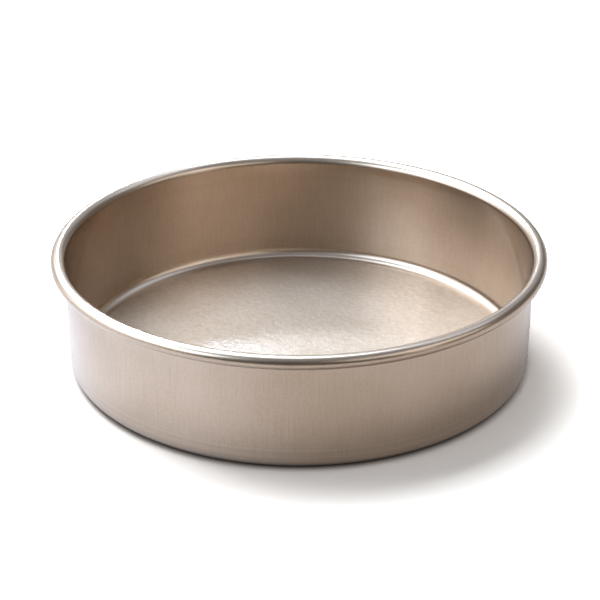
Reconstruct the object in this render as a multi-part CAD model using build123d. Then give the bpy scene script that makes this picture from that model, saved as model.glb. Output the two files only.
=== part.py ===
from build123d import *
import math
import os

# Round cake pan, deep drawn from one sheet of metal, with its rim rolled over a steel wire.
# Millimetres and degrees, +Z up. The origin is the middle of the underside, on the table.

# Driving sizes of the pan
mouth_diameter = 203.2      # inside, where the wall meets the flared lip: 8 inches
pan_height = 53.5           # from the table to the top of the rim
sheet = 0.9                 # thickness of the drawn sheet
corner_radius = 4.5         # inside bend between the floor and the wall
wall_draft = 0.2            # lean of the wall, in degrees, so that the pan leaves its die

# Driving sizes of the rolled rim
wire_diameter = 3.8         # steel wire inside the roll
wire_clearance = 0.05       # between the wire and the sheet that wraps it
curl_gap = 0.1              # between the roll and the wall beside it
curl_wrap = 255.0           # how far the sheet turns round the wire, in degrees from the top
wire_butt_gap = 1.0         # between the two cut ends of the wire hoop

# Sizes that follow from those above
bead_radius = wire_diameter / 2 + wire_clearance + sheet
lip_radius = bead_radius + curl_gap + sheet
wall_lean = 90.0 - wall_draft
draft_cos = math.cos(math.radians(wall_draft))
draft_sin = math.sin(math.radians(wall_draft))
wall_rise = pan_height - sheet - lip_radius - corner_radius + (lip_radius + corner_radius) * draft_sin
foot_radius = mouth_diameter / 2 - wall_rise * draft_sin / draft_cos
bead_centre = (mouth_diameter / 2 + lip_radius * draft_cos, pan_height - bead_radius)


def sheet_side(depth):
    """One side of the sheet, from the axis out to the free edge of the roll.

    Depth 0 is the side that shows inside the pan and over the rim. Depth sheet is the other side.
    Every bend keeps its centre, so the two sides stay one sheet thickness apart all the way.
    """
    floor_end = foot_radius - corner_radius * draft_cos
    floor = Line((0, sheet - depth), (floor_end, sheet - depth))
    corner = JernArc(floor @ 1, floor % 1, corner_radius + depth, wall_lean)
    wall = Line(corner @ 1, corner @ 1 + (corner % 1) * (wall_rise / draft_cos))
    lip = JernArc(wall @ 1, wall % 1, lip_radius - depth, -wall_lean)
    roll = JernArc(lip @ 1, lip % 1, bead_radius - depth, -curl_wrap)
    return [floor, corner, wall, lip, roll]


def pan_shell():
    """The drawn sheet: floor, corner bend, drafted wall, flared lip and roll, turned about the axis."""
    inside = sheet_side(0)
    outside = sheet_side(sheet)
    on_axis = Line(outside[0] @ 0, inside[0] @ 0)
    free_edge = Line(inside[-1] @ 1, outside[-1] @ 1)
    section = make_face([on_axis, *inside, free_edge, *outside])
    return revolve(Plane.XZ * section, Axis.Z)


def rim_wire():
    """The wire hoop inside the roll, with its two cut ends butted at the back."""
    radius, height = bead_centre
    gap_turn = math.degrees(wire_butt_gap / radius)
    section = Plane.XZ * Pos(radius, height) * Circle(wire_diameter / 2)
    hoop = revolve(section, Axis.Z, 360.0 - gap_turn)
    return Rot(0, 0, 90.0 + gap_turn / 2) * hoop


os.makedirs("parts", exist_ok=True)
for name, make in (("pan_shell", pan_shell), ("rim_wire", rim_wire)):
    solid = make()
    solid.label = name
    export_step(solid, f"parts/{name}.step")
    box = solid.bounding_box()
    print(f"{name}: {box.size.X:.2f} x {box.size.Y:.2f} x {box.size.Z:.2f} mm, volume {solid.volume:.0f} mm3")
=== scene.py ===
# %% [markdown]
# A round cake tin, dressed for its picture
#
# The real tin is one sheet of metal, drawn into a pan, with its rim rolled outward over a steel
# wire. A coating in pale champagne covers it all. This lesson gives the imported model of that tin
# its looks: a fine mesh for the sheet, a finish for every surface, and the studio that the finish
# reflects.

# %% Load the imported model
import math

import bmesh
import bpy
from mathutils import Euler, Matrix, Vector


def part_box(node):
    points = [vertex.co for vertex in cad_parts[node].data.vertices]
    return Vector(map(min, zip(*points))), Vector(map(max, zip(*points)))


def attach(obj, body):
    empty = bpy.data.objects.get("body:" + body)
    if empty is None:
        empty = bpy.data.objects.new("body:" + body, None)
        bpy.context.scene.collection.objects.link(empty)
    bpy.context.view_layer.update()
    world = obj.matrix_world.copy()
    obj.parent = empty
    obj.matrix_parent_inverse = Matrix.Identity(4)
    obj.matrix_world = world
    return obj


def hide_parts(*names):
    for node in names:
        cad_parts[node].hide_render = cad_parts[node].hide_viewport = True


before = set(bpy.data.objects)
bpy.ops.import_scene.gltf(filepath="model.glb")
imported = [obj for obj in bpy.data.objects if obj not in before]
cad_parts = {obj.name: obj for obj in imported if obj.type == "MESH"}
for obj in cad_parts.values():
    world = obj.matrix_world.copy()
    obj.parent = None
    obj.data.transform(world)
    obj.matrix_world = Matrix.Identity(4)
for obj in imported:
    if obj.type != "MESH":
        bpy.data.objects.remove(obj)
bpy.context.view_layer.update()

scene = bpy.context.scene
print("nodes:", sorted(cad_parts))

# %% [markdown]
# Sizes
#
# Everything here is in metres, so a size in millimetres is written as a number times MM. The sheet,
# the bends and the wire have the sizes that the solids were built with. The rim's width and the
# tin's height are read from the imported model, so the mesh made below can't drift away from it.

# %% Name the sizes
MM = 0.001
SHEET = 0.9 * MM
CORNER_RADIUS = 4.5 * MM
WALL_DRAFT = math.radians(0.2)
WIRE_RADIUS = 1.9 * MM
WIRE_CLEARANCE = 0.05 * MM
CURL_GAP = 0.1 * MM
CURL_WRAP = math.radians(255.0)

low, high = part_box("pan_shell")
HEIGHT = high.z
RIM_RADIUS = high.x
BEAD_RADIUS = WIRE_RADIUS + WIRE_CLEARANCE + SHEET
LIP_RADIUS = BEAD_RADIUS + CURL_GAP + SHEET
BEAD_MIDDLE = RIM_RADIUS - BEAD_RADIUS
MOUTH_RADIUS = BEAD_MIDDLE - LIP_RADIUS * math.cos(WALL_DRAFT)
print(f"rim {2 * RIM_RADIUS / MM:.1f} mm, height {HEIGHT / MM:.1f} mm")
print(f"mouth {2 * MOUTH_RADIUS / MM:.1f} mm")

# %% [markdown]
# Camera
#
# The picture was taken with a long lens from about 0.8 m, looking down at 28 degrees. The camera
# comes first, because everything that follows is judged through it. Its place is worked out from
# the distance and the height angle, and its aim from the pitch, so each number has a plain meaning.

# %% Set up the camera
CAMERA_DISTANCE = 0.8
CAMERA_HEIGHT_ANGLE = math.radians(27.859)
CAMERA_PITCH = math.radians(26.205)
CAMERA_YAW = math.radians(0.028)
CAMERA_ROLL = math.radians(-0.021)
FRAME_PIXELS = 600
FOCAL_PIXELS = 1770.9
SENSOR_MM = 36.0

camera_data = bpy.data.cameras.new("studio_camera")
camera_data.sensor_width = SENSOR_MM
camera_data.lens = FOCAL_PIXELS / FRAME_PIXELS * SENSOR_MM
camera_data.clip_end = 50.0
camera = bpy.data.objects.new("studio_camera", camera_data)
scene.collection.objects.link(camera)
camera.location = (
    0.0,
    -CAMERA_DISTANCE * math.cos(CAMERA_HEIGHT_ANGLE),
    CAMERA_DISTANCE * math.sin(CAMERA_HEIGHT_ANGLE),
)
aim = Euler((math.radians(90.0) - CAMERA_PITCH, 0.0, -CAMERA_YAW)).to_matrix()
roll = Euler((0.0, 0.0, CAMERA_ROLL)).to_matrix()
camera.rotation_euler = (aim @ roll).to_euler()
scene.camera = camera
print(f"lens {camera_data.lens:.1f} mm")

# %% [markdown]
# The section of the sheet
#
# A drawn pan is the same all the way round, so its whole shape is one section turned about the
# axis. The section is lines and arcs, walked from the middle of the floor, up the inside, over the
# rim, round the wire and back down the outside. Both sides of the sheet share the centre of each
# bend, so the sheet has the same thickness everywhere.

# %% Walk along lines and arcs
QUARTER = math.pi / 2


def along_line(start, end, steps):
    """Points from start towards end, without start."""
    shares = [i / steps for i in range(1, steps + 1)]
    return [tuple(a + (b - a) * share for a, b in zip(start, end)) for share in shares]


def along_arc(centre, radius, start, sweep, steps):
    """Points on an arc, without its start. Angles are in radians, from the outward direction."""
    turns = [start + sweep * i / steps for i in range(1, steps + 1)]
    return [(centre[0] + radius * math.cos(t), centre[1] + radius * math.sin(t)) for t in turns]


print("half a turn in four:", [round(z, 2) for _, z in along_arc((0, 0), 1, 0, math.pi, 4)])

# %% [markdown]
# The bends
#
# The wall leans out by the draft that lets the pan leave its die, so each bend turns by a little
# less than a quarter. The places of the bends follow from the sizes above, as they do in the die.

# %% Place the bends
LEAN = QUARTER - WALL_DRAFT
WALL_RISE = (HEIGHT - SHEET - LIP_RADIUS - CORNER_RADIUS
             + (LIP_RADIUS + CORNER_RADIUS) * math.sin(WALL_DRAFT))
FOOT_RADIUS = MOUTH_RADIUS - WALL_RISE * math.tan(WALL_DRAFT)
FLOOR_END = FOOT_RADIUS - CORNER_RADIUS * math.cos(WALL_DRAFT)
corner_centre = (FLOOR_END, SHEET + CORNER_RADIUS)
lip_centre = (BEAD_MIDDLE, HEIGHT - LIP_RADIUS)
bead_centre = (BEAD_MIDDLE, HEIGHT - BEAD_RADIUS)
print(f"flat floor {2 * FLOOR_END / MM:.1f} mm across, wall {WALL_RISE / MM:.1f} mm high")

# %% [markdown]
# From bends to one closed section
#
# The bends get more steps than the flats, because a step in a bend shows in a reflection and a step
# in a flat shows nowhere.

# %% Walk round the section
STEPS = {"floor": 20, "corner": 14, "wall": 12, "lip": 12, "roll": 40, "edge": 2}


def side_of_sheet(depth):
    """The five runs of one side of the sheet, as lists of (radius, height), out from the axis."""
    floor_height = SHEET - depth
    floor = along_line((0.0, floor_height), (FLOOR_END, floor_height), STEPS["floor"])
    corner = along_arc(corner_centre, CORNER_RADIUS + depth, -QUARTER, LEAN, STEPS["corner"])
    lip_start = math.pi - WALL_DRAFT
    lip = along_arc(lip_centre, LIP_RADIUS - depth, lip_start, -LEAN, STEPS["lip"])
    wall_top = (
        lip_centre[0] + (LIP_RADIUS - depth) * math.cos(lip_start),
        lip_centre[1] + (LIP_RADIUS - depth) * math.sin(lip_start),
    )
    wall = along_line(corner[-1], wall_top, STEPS["wall"])
    roll_run = along_arc(bead_centre, BEAD_RADIUS - depth, QUARTER, -CURL_WRAP, STEPS["roll"])
    return {"floor": floor, "corner": corner, "wall": wall, "lip": lip, "roll": roll_run}


inside = side_of_sheet(0.0)
outside = side_of_sheet(SHEET)
free_edge = along_line(inside["roll"][-1], outside["roll"][-1], STEPS["edge"])
outward = [point for run in inside.values() for point in run]
back_again = [point for run in outside.values() for point in run][::-1][1:]
section = [*outward, *free_edge, *back_again]
print(f"section: {len(section)} points")

# %% [markdown]
# The lathe
#
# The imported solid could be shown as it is, but its long, thin faces break up a reflection. A Screw
# modifier would turn the section too. A lathe in code was chosen because the flat layout further
# down needs to know which ring and which step each vertex belongs to. Each point of the section
# becomes a ring of vertices, and the first and last rings close on a point at the axis. 480 steps
# round keep the rim true to a few thousandths of a millimetre. The faces are smooth, apart from the
# two edges of the cut sheet inside the roll, which stay sharp.

# %% Define the lathe
STEPS_ROUND = 480


def lathe(name, points, axis_start, axis_end, sharp):
    """A closed mesh turned about Z. Rings whose index is in sharp keep a hard edge."""
    mesh = bmesh.new()
    rings = []
    for radius, height in points:
        rings.append([
            mesh.verts.new((radius * math.cos(t), radius * math.sin(t), height))
            for t in (2 * math.pi * i / STEPS_ROUND for i in range(STEPS_ROUND))
        ])
    poles = [mesh.verts.new((0.0, 0.0, axis_start)), mesh.verts.new((0.0, 0.0, axis_end))]
    for i in range(STEPS_ROUND):
        j = (i + 1) % STEPS_ROUND
        mesh.faces.new((poles[0], rings[0][i], rings[0][j]))
        for inner, outer in zip(rings, rings[1:]):
            mesh.faces.new((inner[i], outer[i], outer[j], inner[j]))
        mesh.faces.new((rings[-1][i], poles[1], rings[-1][j]))
        for ring in sharp:
            mesh.edges.get((rings[ring][i], rings[ring][j])).smooth = False
    for face in mesh.faces:
        face.smooth = True
    data = bpy.data.meshes.new(name)
    mesh.to_mesh(data)
    mesh.free()
    piece = bpy.data.objects.new(name, data)
    scene.collection.objects.link(piece)
    return piece


print(f"one step is {2 * math.pi * RIM_RADIUS / STEPS_ROUND / MM:.2f} mm long at the rim")

# %% [markdown]
# The drawn pan
#
# The turned sheet rides on the tin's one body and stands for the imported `pan_shell`, which is
# hidden from here on.

# %% Turn the section into a mesh
edge_start = len(outward) - 1
sharp_rings = (edge_start, edge_start + STEPS["edge"])
sheet_piece = lathe("drawn_pan", section, SHEET, 0.0, sharp_rings)
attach(sheet_piece, "root")
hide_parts("pan_shell")
print(f"drawn_pan: {len(sheet_piece.data.polygons)} faces")

# %% [markdown]
# A flat layout for the finish
#
# When the model leaves Blender, its finish is painted into one square picture, so the sheet needs a
# layout without overlaps. It could be unwrapped automatically, but that scatters it in islands. It
# is cut as a pattern cutter would cut it: the two sides of the floor are discs, side by side, and
# the wall with its rim unrolls into one long strip, cut in two so that it fits above them. A
# millimetre on the tin is then nearly the same size everywhere in the square.

# %% Lay the sheet out
LAYOUT_MARGIN = 3.0 * MM


def lay_out(piece, points, disc_rings):
    """The layout named OFBake. The first and the last disc_rings rings are the floor's sides."""
    disc = points[disc_rings - 1][0]
    walk = [0.0]
    for here, there in zip(points, points[1:]):
        walk.append(walk[-1] + math.dist(here, there))
    strip_start, strip_end = walk[disc_rings - 1], walk[len(points) - disc_rings]
    row = strip_end - strip_start + LAYOUT_MARGIN
    first_row = 2 * (disc + LAYOUT_MARGIN)
    square = first_row + 2 * row
    step_width = 2 * math.pi * MOUTH_RADIUS / STEPS_ROUND
    half = STEPS_ROUND // 2
    flat = []
    for face in piece.data.polygons:
        places = [divmod(vertex, STEPS_ROUND) for vertex in face.vertices]
        rings = [ring for ring, _ in places if ring < len(points)]
        start = min(step for ring, step in places if ring < len(points))
        wraps = start == 0 and any(step == STEPS_ROUND - 1 for _, step in places)
        start = STEPS_ROUND - 1 if wraps else start
        for vertex, (ring, step) in zip(face.vertices, places):
            x, y, _ = piece.data.vertices[vertex].co
            if max(rings) < disc_rings:
                u, v = LAYOUT_MARGIN + disc + x, LAYOUT_MARGIN + disc + y
            elif min(rings) >= len(points) - disc_rings:
                u, v = 2 * LAYOUT_MARGIN + 3 * disc - x, LAYOUT_MARGIN + disc + y
            else:
                turn = step + STEPS_ROUND if wraps and step == 0 else step
                part = 1 if start >= half else 0
                u = LAYOUT_MARGIN + (turn - part * half) * step_width
                v = first_row + part * row + walk[ring] - strip_start
            flat.extend((u / square, v / square))
    layer = piece.data.uv_layers.new(name="OFBake")
    layer.data.foreach_set("uv", flat)
    print(f"layout: {square / MM:.0f} mm square, from {min(flat):.3f} to {max(flat):.3f}")


lay_out(sheet_piece, section, STEPS["floor"])

# %% [markdown]
# Tools for finishes
#
# Colours are written as the hex values that a colour picker shows, and one function turns them into
# the linear values that the renderer mixes. A second function adds a node with its settings and
# links in one call, which keeps each finish short enough to read. An input is called by its label,
# with a low line for each space, or by its number, such as i0, where labels repeat: a Mix node's
# two floats are i2 and i3, and its two colours are i6 and i7.

# %% Define the helpers
def linear(hex_colour):
    """The linear RGBA of a colour written as sRGB hex."""
    channels = [int(hex_colour[i:i + 2], 16) / 255.0 for i in (1, 3, 5)]
    curve = [c / 12.92 if c <= 0.04045 else ((c + 0.055) / 1.055) ** 2.4 for c in channels]
    return (*curve, 1.0)


def add(tree, kind, settings=None, **inputs):
    """Adds a node. Settings are its own options. An input takes a value or a node's socket."""
    node = tree.nodes.new(kind)
    for name, value in (settings or {}).items():
        setattr(node, name, value)
    for name, value in inputs.items():
        label = name.replace("_", " ")
        socket = node.inputs[int(label[1:]) if label[0] == "i" and label[1:].isdigit() else label]
        if isinstance(value, bpy.types.NodeSocket):
            tree.links.new(value, socket)
        else:
            socket.default_value = value
    return node


def new_material(name):
    """An empty node material and its tree."""
    material = bpy.data.materials.new(name)
    material.use_nodes = True
    material.node_tree.nodes.clear()
    return material, material.node_tree


def where_on_tin(tree):
    """A point's place on the tin, its distance from the axis and its height."""
    place = add(tree, "ShaderNodeTexCoord").outputs["Object"]
    flat = add(
        tree, "ShaderNodeVectorMath", {"operation": "MULTIPLY"}, i0=place, i1=(1.0, 1.0, 0.0),
    ).outputs["Vector"]
    radius = add(tree, "ShaderNodeVectorMath", {"operation": "LENGTH"}, i0=flat)
    height = add(tree, "ShaderNodeSeparateXYZ", Vector=place)
    return place, radius.outputs["Value"], height.outputs["Z"]


WHITE = linear("#FFFFFF")
print(f"a grey of #808080 is {linear('#808080')[0]:.3f} in linear light")

# %% [markdown]
# Champagne coating on drawn steel
#
# The tin is steel sheet with a thin, satin, metal-filled coating baked on, which gives a warm, pale
# metal with a wide soft highlight. Drawing the pan through its die pulled the grain of the wall
# straight up and down, and pressing left a few faint rings near the foot and the rim. The floor was
# never stretched: it keeps a random, orbit-sanded grain that breaks the edge of a highlight into
# specks. Pictures of real grain could be wrapped round the tin instead. Noise in the tin's own
# coordinates was chosen because it has no seam, keeps its size in millimetres and stays put in
# every view.
#
# The pattern needs to know where on the tin a point is. Its distance from the axis and its height
# tell the floor, the wall and the rolled rim apart, and each soft step between them is one node.
# The pressed rings lie only on the wall, close to the foot and close to the lip.

# %% Find the zones of the tin
FLOOR_FADE = (FLOOR_END + 1.0 * MM, FLOOR_END - 3.0 * MM)
RIM_FADE = (HEIGHT - 5.0 * MM, HEIGHT - 7.0 * MM)
RING_ZONE = 14.0 * MM

coating, tree = new_material("champagne_coating_on_drawn_steel")
place, radius, height = where_on_tin(tree)
zones = []
for measure, (outer, inner) in (
    (radius, FLOOR_FADE),
    (height, RIM_FADE),
    (height, (RING_ZONE, RING_ZONE / 2)),
    (height, (HEIGHT - RING_ZONE, HEIGHT - RING_ZONE / 2)),
):
    zones.append(add(
        tree, "ShaderNodeMapRange", {"interpolation_type": "SMOOTHSTEP"},
        Value=measure, From_Min=outer, From_Max=inner,
    ).outputs["Result"])
on_floor, below_rim, near_foot, near_lip = zones
off_floor = add(
    tree, "ShaderNodeMath", {"operation": "SUBTRACT"}, i0=below_rim, i1=on_floor,
).outputs["Value"]
ring_zone = add(
    tree, "ShaderNodeMath", {"operation": "MAXIMUM"}, i0=near_foot, i1=near_lip,
).outputs["Value"]
ring_zone = add(
    tree, "ShaderNodeMath", {"operation": "MULTIPLY"}, i0=ring_zone, i1=off_floor,
).outputs["Value"]
print("zones:", len(zones), "soft steps")

# %% [markdown]
# The grain of each zone
#
# One noise, stretched twenty-five times along the axis, gives the draw lines of the wall. A second,
# read only by distance from the axis and by height, is the same all the way round, which is what a
# pressed ring is. A third, the same in all directions, is a fine grit that lies on every surface,
# and a fourth, coarser one is the sanded grain of the floor. The last is very wide and gives the
# soft patches that handling leaves.
#
# Real draw lines are about 0.2 mm wide and real grit is about 0.3 mm. Both are drawn three times
# coarser, so that they show at the size of the picture. The sanded grain starts at 2.4 mm, eight
# times coarser than real grit, because the specks in the floor's highlight are about that size.

# %% Draw the grains
DRAW_LINE = 0.6 * MM
DRAW_STRETCH = 0.04
GRIT = 0.9 * MM
SANDED = 2.4 * MM
PRESS_RING = 1.4 * MM
HANDLING = 28.0 * MM

upright = add(
    tree, "ShaderNodeVectorMath", {"operation": "MULTIPLY"}, i0=place, i1=(1.0, 1.0, DRAW_STRETCH),
).outputs["Vector"]
turned = add(tree, "ShaderNodeCombineXYZ", X=radius, Y=height).outputs["Vector"]
grains = []
for where, size, detail, roughness in (
    (upright, DRAW_LINE, 3.0, 0.6),
    (turned, PRESS_RING, 2.0, 0.5),
    (place, GRIT, 4.0, 0.65),
    (place, SANDED, 5.0, 0.62),
    (place, HANDLING, 3.0, 0.5),
):
    grains.append(add(
        tree, "ShaderNodeTexNoise", Vector=where,
        Scale=1.0 / size, Detail=detail, Roughness=roughness,
    ).outputs["Fac"])
draw_lines, press_rings, grit, sanded, cloud = grains
print("grains:", len(grains))

# %% [markdown]
# Colour
#
# The coating is one colour from a spray line, and it varies a little: slightly deeper where it lies
# thick, in soft patches about a thumb wide, and along the draw lines. The two colours differ by
# only a few steps, because a stronger difference would read as dirt.
#
# Noise stays around a half. Each grain is scaled by its share of the colour and centred on 0, so
# that it deepens one place as much as it lightens the next.

# %% Mix the colour
CHAMPAGNE = "#C8B29D"
CHAMPAGNE_DEEP = "#BCA68F"
DRAW_SHARE = 0.8
SANDED_SHARE = 1.0
GRIT_SHARE = 1.2
RING_SHARE = 1.7
SHADE_SPREAD = 0.25

marks = []
for grain, share in (
    (draw_lines, DRAW_SHARE), (sanded, SANDED_SHARE), (grit, GRIT_SHARE), (press_rings, RING_SHARE),
):
    marks.append(add(
        tree, "ShaderNodeMath", {"operation": "MULTIPLY_ADD"}, i0=grain, i1=share, i2=-share / 2,
    ).outputs["Value"])
line_marks, sanded_marks, grit_marks, ring_marks = marks
main_marks = add(
    tree, "ShaderNodeMix", {"data_type": "FLOAT"}, Factor=on_floor, i2=line_marks, i3=sanded_marks,
).outputs[0]
shade = cloud
for more in (main_marks, grit_marks):
    shade = add(
        tree, "ShaderNodeMath", {"operation": "ADD"}, i0=shade, i1=more,
    ).outputs["Value"]
shade = add(
    tree, "ShaderNodeMath", {"operation": "MULTIPLY_ADD"}, i0=ring_marks, i1=ring_zone, i2=shade,
).outputs["Value"]
deepness = add(
    tree, "ShaderNodeMapRange", Value=shade,
    From_Min=0.5 - SHADE_SPREAD, From_Max=0.5 + SHADE_SPREAD,
).outputs["Result"]
colour = add(
    tree, "ShaderNodeMix", {"data_type": "RGBA"},
    Factor=deepness, i6=linear(CHAMPAGNE), i7=linear(CHAMPAGNE_DEEP),
).outputs[2]
print("colour: from", CHAMPAGNE, "to", CHAMPAGNE_DEEP)

# %% [markdown]
# Gloss
#
# The rim was rolled hard between tools, so it is the smoothest part. The wall is satin. The floor
# is the dullest, and its grain shows most where a highlight ends. Each zone has its own roughness,
# and the grains move it up and down a little.

# %% Set the roughness
RIM_ROUGHNESS = 0.28
WALL_ROUGHNESS = 0.30
WALL_VARIATION = 0.03
FLOOR_ROUGHNESS = 0.54
FLOOR_VARIATION = 0.12

zone_gloss = []
for grain, middle, variation in (
    (draw_lines, WALL_ROUGHNESS, WALL_VARIATION), (sanded, FLOOR_ROUGHNESS, FLOOR_VARIATION),
):
    zone_gloss.append(add(
        tree, "ShaderNodeMapRange", Value=grain, From_Min=0.2, From_Max=0.8,
        To_Min=middle - variation, To_Max=middle + variation,
    ).outputs["Result"])
wall_gloss, floor_gloss = zone_gloss
floor_or_wall = add(
    tree, "ShaderNodeMix", {"data_type": "FLOAT"}, Factor=on_floor, i2=wall_gloss, i3=floor_gloss,
).outputs[0]
gloss = add(
    tree, "ShaderNodeMix", {"data_type": "FLOAT"},
    Factor=below_rim, i2=RIM_ROUGHNESS, i3=floor_or_wall,
).outputs[0]
print(f"roughness: rim {RIM_ROUGHNESS}, wall {WALL_ROUGHNESS}, floor {FLOOR_ROUGHNESS}")

# %% [markdown]
# Relief
#
# The grains are also a very low relief. Each has a height in thousandths of a millimetre, and they
# are added up into one height for a single bump node whose distance is 1, so the heights keep their
# meaning. The draw lines and the grit are about as high as real ones. The rings and the sanded
# grain are drawn wider than they are, so they are drawn deeper too: a grain has to tilt the surface
# by a few degrees to break up a highlight.

# %% Add up the relief
MICRON = 1e-6
DRAW_RELIEF = 5.0 * MICRON
GRIT_RELIEF = 8.0 * MICRON
SANDED_RELIEF = 170.0 * MICRON
RING_RELIEF = 60.0 * MICRON

heights = []
for grain, tallest in (
    (draw_lines, DRAW_RELIEF), (grit, GRIT_RELIEF),
    (sanded, SANDED_RELIEF), (press_rings, RING_RELIEF),
):
    heights.append(add(
        tree, "ShaderNodeMath", {"operation": "MULTIPLY"}, i0=grain, i1=tallest,
    ).outputs["Value"])
line_height, grit_height, sanded_height, ring_height = heights
wall_height = add(
    tree, "ShaderNodeMath", {"operation": "ADD"}, i0=line_height, i1=grit_height,
).outputs["Value"]
wall_height = add(
    tree, "ShaderNodeMath", {"operation": "MULTIPLY"}, i0=wall_height, i1=below_rim,
).outputs["Value"]
floor_or_wall = add(
    tree, "ShaderNodeMix", {"data_type": "FLOAT"},
    Factor=on_floor, i2=wall_height, i3=sanded_height,
).outputs[0]
relief = add(
    tree, "ShaderNodeMath", {"operation": "MULTIPLY_ADD"},
    i0=ring_height, i1=ring_zone, i2=floor_or_wall,
).outputs["Value"]
bump = add(
    tree, "ShaderNodeBump", Strength=1.0, Distance=1.0, Height=relief,
).outputs["Normal"]
print(f"deepest relief: {SANDED_RELIEF / MM:.2f} mm, on the floor")

# %% [markdown]
# One clear coat over metal
#
# Colour, gloss and relief meet in one shader. The metal layer gives the wide satin glow, and a
# smoother clear layer over it follows the same relief and gives each highlight its crisp core.

# %% Put the coating together
CLEAR_ROUGHNESS = 0.12

shader = add(
    tree, "ShaderNodeBsdfPrincipled",
    Base_Color=colour, Metallic=1.0, Roughness=gloss, Normal=bump,
    Coat_Weight=1.0, Coat_Roughness=CLEAR_ROUGHNESS, Coat_Normal=bump,
)
add(tree, "ShaderNodeOutputMaterial", Surface=shader.outputs["BSDF"])
sheet_piece.data.materials.append(coating)
print("coating:", len(tree.nodes), "nodes")

# %% [markdown]
# Drawn steel wire
#
# The hoop inside the roll is bare, cold-drawn wire, pulled through a die, so fine scratches run
# along it. It shows only through the slit under the rim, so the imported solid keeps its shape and
# only gets this finish. The scratches are 0.15 mm apart, as on real wire.

# %% Make the wire
DIE_SCRATCH = 0.15 * MM
SCRATCH_RELIEF = 4.0 * MICRON
WIRE_STEEL = "#CBCAC8"
WIRE_STEEL_DEEP = "#B9B8B6"

wire_steel, tree = new_material("bare_drawn_steel_wire")
place, radius, height = where_on_tin(tree)
across = add(tree, "ShaderNodeCombineXYZ", X=radius, Y=height).outputs["Vector"]
scratches = add(
    tree, "ShaderNodeTexNoise", Vector=across, Scale=1.0 / DIE_SCRATCH, Detail=3.0, Roughness=0.6,
).outputs["Fac"]
colour = add(
    tree, "ShaderNodeMix", {"data_type": "RGBA"},
    Factor=scratches, i6=linear(WIRE_STEEL), i7=linear(WIRE_STEEL_DEEP),
).outputs[2]
gloss = add(
    tree, "ShaderNodeMapRange", Value=scratches, To_Min=0.25, To_Max=0.45,
).outputs["Result"]
relief = add(
    tree, "ShaderNodeMath", {"operation": "MULTIPLY"}, i0=scratches, i1=SCRATCH_RELIEF,
).outputs["Value"]
bump = add(
    tree, "ShaderNodeBump", Strength=1.0, Distance=1.0, Height=relief,
).outputs["Normal"]
shader = add(
    tree, "ShaderNodeBsdfPrincipled",
    Base_Color=colour, Metallic=1.0, Roughness=gloss, Normal=bump,
)
add(tree, "ShaderNodeOutputMaterial", Surface=shader.outputs["BSDF"])
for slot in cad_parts["rim_wire"].material_slots:
    slot.material = wire_steel
print("wire:", len(tree.nodes), "nodes")

# %% [markdown]
# Table and background
#
# The tin stands on a white table that runs back out of the picture with no horizon. It is one big
# square. A curved backdrop would do as well from the front, but it would be in the way when the tin
# is looked at from behind.

# %% Lay the table
TABLE_REACH = 6.0


def flat_panel(name, corners):
    """A flat panel of the studio, given by its four corners."""
    mesh = bmesh.new()
    mesh.faces.new([mesh.verts.new(corner) for corner in corners])
    data = bpy.data.meshes.new(name)
    mesh.to_mesh(data)
    mesh.free()
    panel = bpy.data.objects.new(name, data)
    scene.collection.objects.link(panel)
    return panel


signs = ((-1, -1), (1, -1), (1, 1), (-1, 1))
table = flat_panel("table", [(TABLE_REACH * x, TABLE_REACH * y, 0.0) for x, y in signs])
print(f"table: {2 * TABLE_REACH:.0f} m square")

# %% [markdown]
# The board as the camera sees it
#
# Near the tin the table is plain white board, which catches the shadow. The camera sees it about
# twice as bright as the lamps make it, so that it is white while the lamps stay low enough for the
# metal.

# %% Start the board
BOARD_WHITE = "#FCFCFC"
CAMERA_LIFT = 1.2

board, tree = new_material("white_table_board")
place = add(tree, "ShaderNodeTexCoord").outputs["Object"]
distance = add(
    tree, "ShaderNodeVectorMath", {"operation": "LENGTH"}, i0=place,
).outputs["Value"]
ray = add(tree, "ShaderNodeLightPath")
plain = add(tree, "ShaderNodeBsdfDiffuse", Color=linear(BOARD_WHITE)).outputs["BSDF"]
lift = add(tree, "ShaderNodeBsdfDiffuse", Color=(CAMERA_LIFT, CAMERA_LIFT, CAMERA_LIFT, 1.0))
lifted = add(tree, "ShaderNodeAddShader", i0=plain, i1=lift.outputs["BSDF"]).outputs["Shader"]
near = add(
    tree, "ShaderNodeMixShader", i0=ray.outputs["Is Camera Ray"], i1=plain, i2=lifted,
).outputs["Shader"]
print("board, near the tin:", BOARD_WHITE)

# %% [markdown]
# The board as the metal sees it
#
# The tin's wall reflects the board around it. In reflections the board is light grey with a faint
# painted glow all over, standing in for light from a wide room, and a brighter, cooler painted pool
# of light on the tin's left, where light from a window would fall. No lamp makes either glow.

# %% Add the painted patch of window light
MIRRORED_BOARD = "#E5E5EA"
PAINTED_BOARD_GLOW = "#5D5B59"
PAINTED_WINDOW_GLOW = "#ADBDD4"
PAINTED_WINDOW_PATCH = (-0.20, -0.10, 0.0)
PATCH_EDGE = 0.24
PATCH_CORE = 0.05

# Painted light: in reflections the board glows, brighter and cooler in a pool on the tin's left.
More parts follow.
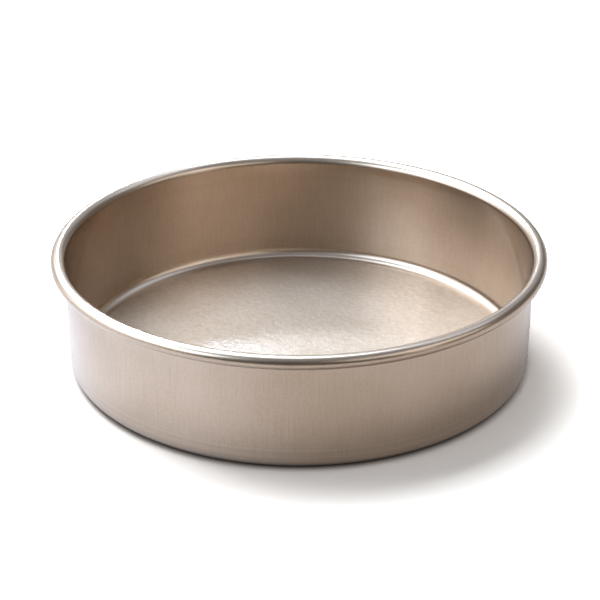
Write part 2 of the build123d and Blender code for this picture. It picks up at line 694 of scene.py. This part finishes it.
from_painted_window = add(
    tree, "ShaderNodeVectorMath", {"operation": "DISTANCE"}, i0=place, i1=PAINTED_WINDOW_PATCH,
).outputs["Value"]
patch = add(
    tree, "ShaderNodeMapRange", {"interpolation_type": "SMOOTHSTEP"}, Value=from_painted_window,
    From_Min=PATCH_EDGE, From_Max=PATCH_CORE,
).outputs["Result"]
glow = add(
    tree, "ShaderNodeMix", {"data_type": "RGBA"},
    Factor=patch, i6=linear(PAINTED_BOARD_GLOW), i7=linear(PAINTED_WINDOW_GLOW),
).outputs[2]
grey = add(tree, "ShaderNodeBsdfDiffuse", Color=linear(MIRRORED_BOARD)).outputs["BSDF"]
glow = add(tree, "ShaderNodeEmission", Color=glow, Strength=1.0).outputs["Emission"]
mirrored = add(tree, "ShaderNodeAddShader", i0=grey, i1=glow).outputs["Shader"]
near = add(
    tree, "ShaderNodeMixShader", i0=ray.outputs["Is Glossy Ray"], i1=near, i2=mirrored,
).outputs["Shader"]
print(f"window light: {math.hypot(*PAINTED_WINDOW_PATCH):.2f} m from the middle of the tin")

# %% [markdown]
# The edges of the board
#
# Far from the tin the board turns into the white of the background, so the picture stays white to
# its edges from any side. A thin line of painted shade, a dark board colour, follows the foot, where
# no light gets in under the bend. Further out in front, reflections find a dim glow in place of the
# board, a painted shade, as the camera's side of a studio is unlit.

# %% Finish the board
SHADOW_BOARD = 0.45
BOARD_FADE = 0.35
PAINTED_FOOT_SHADE = "#7C7068"
FOOT_LINE = 98.5 * MM
FOOT_LINE_EDGE = 103.8 * MM
FRONT_LIT = -0.22
FRONT_DARK = -0.36
FRONT_GLOW = 0.10

far = add(
    tree, "ShaderNodeMapRange", {"interpolation_type": "SMOOTHSTEP"}, Value=distance,
    From_Min=SHADOW_BOARD, From_Max=SHADOW_BOARD + BOARD_FADE,
).outputs["Result"]
far_white = add(tree, "ShaderNodeEmission", Color=WHITE, Strength=1.0).outputs["Emission"]
surface = add(tree, "ShaderNodeMixShader", i0=far, i1=near, i2=far_white).outputs["Shader"]
past_foot = add(
    tree, "ShaderNodeMapRange", Value=distance, From_Min=FOOT_LINE, From_Max=FOOT_LINE_EDGE,
).outputs["Result"]
# Painted shade: a dark board colour in a ring just outside the foot.
painted_foot_shade = add(tree, "ShaderNodeBsdfDiffuse", Color=linear(PAINTED_FOOT_SHADE)).outputs["BSDF"]
surface = add(
    tree, "ShaderNodeMixShader", i0=past_foot, i1=painted_foot_shade, i2=surface,
).outputs["Shader"]
front_to_back = add(tree, "ShaderNodeSeparateXYZ", Vector=place).outputs["Y"]
in_front = add(
    tree, "ShaderNodeMapRange", {"interpolation_type": "SMOOTHSTEP"}, Value=front_to_back,
    From_Min=FRONT_LIT, From_Max=FRONT_DARK,
).outputs["Result"]
in_front = add(
    tree, "ShaderNodeMath", {"operation": "MULTIPLY"},
    i0=in_front, i1=ray.outputs["Is Glossy Ray"],
).outputs["Value"]
# Painted shade: in reflections, a dim glow takes the board's place in front of the tin.
unlit = add(tree, "ShaderNodeEmission", Color=WHITE, Strength=FRONT_GLOW).outputs["Emission"]
surface = add(tree, "ShaderNodeMixShader", i0=in_front, i1=surface, i2=unlit).outputs["Shader"]
add(tree, "ShaderNodeOutputMaterial", Surface=surface)
table.data.materials.append(board)
print("board:", len(tree.nodes), "nodes")

# %% [markdown]
# Light
#
# A picture like this is lit by one key lamp, high behind the left shoulder of the tin, and by an
# even fill that comes from the world. The fill is low, so that the key's shadow stays clear. Where
# the camera, or a reflection, sees past everything, the background is plain white.

# %% Light the world
FILL = 0.23
world = bpy.data.worlds.new("studio_world")
scene.world = world
world.use_nodes = True
tree = world.node_tree
tree.nodes.clear()
ray = add(tree, "ShaderNodeLightPath")
seen = ray.outputs["Is Camera Ray"]
for kind in ("Is Glossy Ray", "Is Transmission Ray"):
    seen = add(
        tree, "ShaderNodeMath", {"operation": "MAXIMUM"}, i0=seen, i1=ray.outputs[kind],
    ).outputs["Value"]
fill = add(tree, "ShaderNodeBackground", Color=WHITE, Strength=FILL).outputs["Background"]
plain = add(tree, "ShaderNodeBackground", Color=WHITE, Strength=1.0).outputs["Background"]
both = add(tree, "ShaderNodeMixShader", i0=seen, i1=fill, i2=plain)
add(tree, "ShaderNodeOutputWorld", Surface=both.outputs["Shader"])
print("world:", len(tree.nodes), "nodes")

# %% [markdown]
# Soft boxes
#
# Metal shows only what it reflects, so most of these lamps are there to be reflected, and they are
# kept off the table so that they don't wash out the shadow. The key is two lamps in one place: one
# lights the table and draws the shadow, and the other is the key as the metal sees it. Boxes behind
# the tin and on its left brighten the rim and the left of the wall, a small strong one behind draws
# the speckled highlight on the floor, and weak ones overhead and on the right keep the walls there
# from going dull. Cool light on a warm coating gives the pale, greyish gold of the highlights.

# %% Hang the lamps
NEUTRAL = "#FFFFFF"
DAYLIGHT = "#D0E6FF"
PALE_BLUE = "#E6EEFF"


def towards(azimuth, elevation):
    """The direction of a lamp from the tin. Azimuth 0 is behind the tin, and 90 is on its left."""
    a, e = math.radians(azimuth), math.radians(elevation)
    return Vector((-math.sin(a) * math.cos(e), math.cos(a) * math.cos(e), math.sin(e)))


def soft_box(name, azimuth, elevation, distance, width, height, radiance, tint, lights_table=False):
    """A rectangular lamp that faces the tin. Without lights_table it only shows in reflections."""
    lamp = bpy.data.lights.new(name, "AREA")
    lamp.color = linear(tint)[:3]
    lamp.shape = "RECTANGLE"
    lamp.size = width
    lamp.size_y = height
    lamp.energy = radiance * math.pi * width * height
    piece = bpy.data.objects.new(name, lamp)
    scene.collection.objects.link(piece)
    facing = towards(azimuth, elevation)
    piece.location = facing * distance
    piece.rotation_euler = facing.to_track_quat("Z", "Y").to_euler()
    piece.visible_camera = False
    piece.visible_diffuse = lights_table
    print(f"{name}: {lamp.energy:.1f} W")
    return piece


# Name, azimuth, elevation, distance, width, height, radiance and tint
key = soft_box("key_box", 37.0, 60.0, 2.0, 1.6, 1.5, 5.0, NEUTRAL, lights_table=True)
key.visible_glossy = False
soft_box("key_glow", 38.0, 60.0, 2.0, 1.8, 1.3, 5.4, DAYLIGHT)
soft_box("top_box", 0.0, 84.0, 2.0, 0.9, 0.4, 1.3, DAYLIGHT)
soft_box("back_high_box", 8.0, 63.0, 1.9, 1.1, 0.8, 2.1, DAYLIGHT)
soft_box("back_box", 23.0, 35.0, 1.8, 1.8, 0.6, 1.55, DAYLIGHT)
soft_box("back_strip", 9.5, 30.5, 1.8, 0.14, 0.12, 96.0, DAYLIGHT)
soft_box("back_left_box", 50.0, 28.0, 1.8, 1.2, 0.6, 2.0, DAYLIGHT)
soft_box("back_right_box", 312.0, 54.0, 1.8, 1.2, 0.8, 1.1, DAYLIGHT)
soft_box("left_box", 92.0, 32.0, 1.8, 1.4, 1.2, 1.8, DAYLIGHT)
soft_box("left_low_box", 85.0, 8.0, 1.8, 1.6, 0.5, 1.4, DAYLIGHT)
soft_box("front_left_box", 124.0, 35.0, 1.8, 1.0, 1.0, 4.0, DAYLIGHT)
soft_box("front_right_box", 234.0, 32.0, 1.8, 2.2, 0.8, 0.9, NEUTRAL)

# %% [markdown]
# Flags
#
# Without them the metal would reflect the white background from every side. Dark cards in front and
# on the right give the near side of the rim its dark line and let the wall fall off to the right. A
# grey one overhead and one along the horizon behind tone down the floor and the inside of the wall,
# and one behind on the right lets the floor fall off to that side. Only reflections see them.

# %% Stand the dark flags
def flag(name, azimuth, elevation, distance, width, height, shade, tint):
    """A card that only reflections see, as an unlit side of the studio. A shade of 1 is white."""
    facing = towards(azimuth, elevation)
    turn = facing.to_track_quat("Z", "Y").to_matrix()
    corners = [turn @ Vector((width / 2 * x, height / 2 * y, 0.0)) for x, y in signs]
    card = flat_panel(name, [corner + facing * distance for corner in corners])
    cloth, tree = new_material(name + "_cloth")
    glow = add(tree, "ShaderNodeEmission", Color=linear(tint), Strength=shade)
    add(tree, "ShaderNodeOutputMaterial", Surface=glow.outputs["Emission"])
    card.data.materials.append(cloth)
    card.visible_camera = False
    card.visible_diffuse = False
    card.visible_shadow = False
    print(f"{name}: {width} x {height} m")


# Name, azimuth, elevation, distance, width, height, shade and tint
flag("front_flag", 180.0, 22.0, 2.0, 4.0, 1.8, 0.11, NEUTRAL)
flag("right_flag", 292.0, 22.0, 2.1, 5.2, 1.9, 0.18, NEUTRAL)
flag("horizon_flag", 0.0, 5.0, 2.2, 5.0, 0.5, 0.40, NEUTRAL)
flag("top_flag", 0.0, 89.0, 2.3, 4.6, 4.6, 0.38, PALE_BLUE)
flag("back_right_flag", 340.0, 36.0, 1.7, 1.2, 0.7, 0.56, PALE_BLUE)

# %% [markdown]
# View
#
# The standard view shows colours as they were written, with no film curve over them.

# %% Keep the colours as written
scene.view_settings.view_transform = "Standard"
print("view:", scene.view_settings.view_transform)
